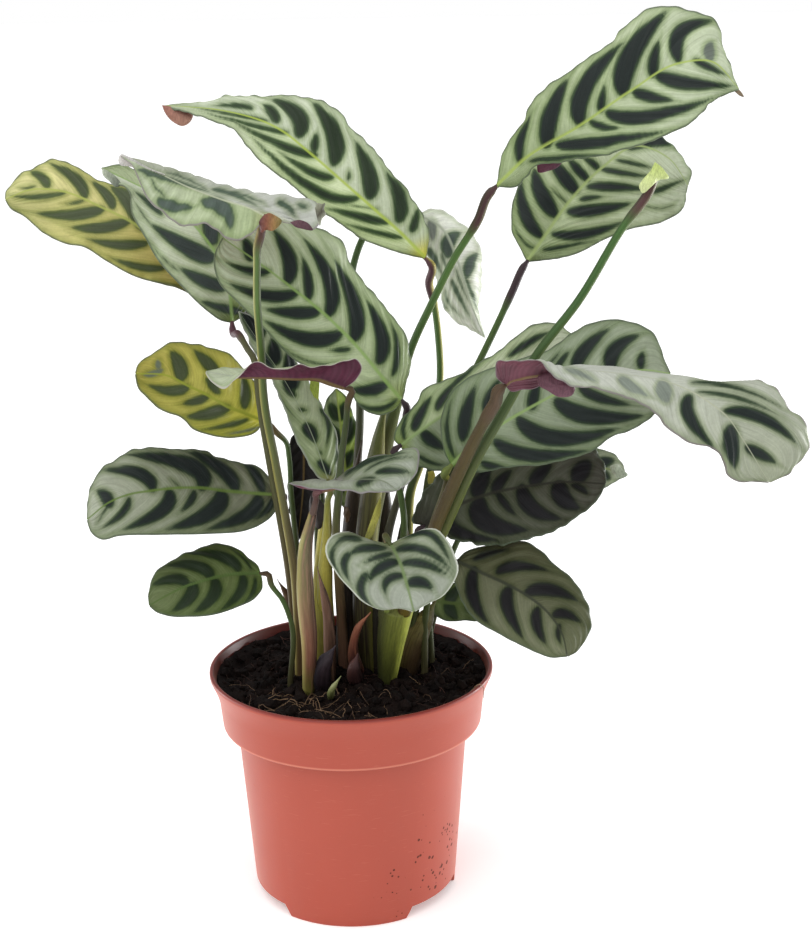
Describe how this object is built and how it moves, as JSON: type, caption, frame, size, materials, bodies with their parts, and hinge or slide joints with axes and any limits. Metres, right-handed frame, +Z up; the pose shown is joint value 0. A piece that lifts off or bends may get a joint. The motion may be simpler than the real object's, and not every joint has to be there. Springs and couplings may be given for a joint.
{
  "type": "potted ctenanthe",
  "caption": "Patterned house plant with silver green, dark blotched leaf blades on thin stalks, growing in a round plastic nursery pot.",
  "frame": {"origin": "under the middle of the whole plant's box, on the surface that the pot stands on", "axes": "+Z up, -Y towards the side of the plant seen in the picture, +X to the right of it"},
  "size_m": [0.304, 0.1638, 0.3685],
  "materials": {
    "pot": "terracotta coloured moulded polypropylene, satin",
    "soil": "moist dark peat and coir, matt",
    "leaf_blade": "silver green leaf with dark blotches, satin, purple underneath",
    "stalk": "smooth green stalk, satin, brown at its upper joint",
    "sheath": "yellow green and pink brown fibrous sheath, satin"
  },
  "bodies": {
    "root": {"brown_bract": "sheath", "green_sprout": "sheath", "large_sheath": "sheath", "leaf_centre_dark": "leaf_blade", "leaf_centre_lit": "leaf_blade", "leaf_far_left": "leaf_blade", "leaf_folded_front": "leaf_blade", "leaf_front_heart": "leaf_blade", "leaf_hanging_back": "leaf_blade", "leaf_left_folded": "leaf_blade", "leaf_left_inner": "leaf_blade", "leaf_left_large": "leaf_blade", "leaf_low_left": "leaf_blade", "leaf_low_right": "leaf_blade", "leaf_low_right_dark": "leaf_blade", "leaf_low_right_hidden": "leaf_blade", "leaf_mid_left_yellow": "leaf_blade", "leaf_narrow_silver": "leaf_blade", "leaf_right_drooping": "leaf_blade", "leaf_right_inner": "leaf_blade", "leaf_right_middle": "leaf_blade", "leaf_small_low_left": "leaf_blade", "leaf_small_rim": "leaf_blade", "leaf_top_left": "leaf_blade", "leaf_top_right": "leaf_blade", "leaf_twisted_front": "leaf_blade", "leaf_upper_right_back": "leaf_blade", "left_sheath": "sheath", "pot": "pot", "purple_sprout": "sheath", "red_shoot": "sheath", "right_sheath": "sheath", "soil": "soil", "stalk_bare": "stalk", "stalk_centre_dark": "stalk", "stalk_centre_lit": "stalk", "stalk_far_left": "stalk", "stalk_folded_front": "stalk", "stalk_front_heart": "stalk", "stalk_hanging_back": "stalk", "stalk_left_folded": "stalk", "stalk_left_inner": "stalk", "stalk_left_large": "stalk", "stalk_low_left": "stalk", "stalk_low_right": "stalk", "stalk_low_right_dark": "stalk", "stalk_low_right_hidden": "stalk", "stalk_mid_left_yellow": "stalk", "stalk_narrow_silver": "stalk", "stalk_right_drooping": "stalk", "stalk_right_inner": "stalk", "stalk_right_middle": "stalk", "stalk_small_low_left": "stalk", "stalk_small_rim": "stalk", "stalk_top_left": "stalk", "stalk_top_right": "stalk", "stalk_twisted_front": "stalk", "stalk_upper_right_back": "stalk", "thin_sheath": "sheath"}
  },
  "joints": []
}
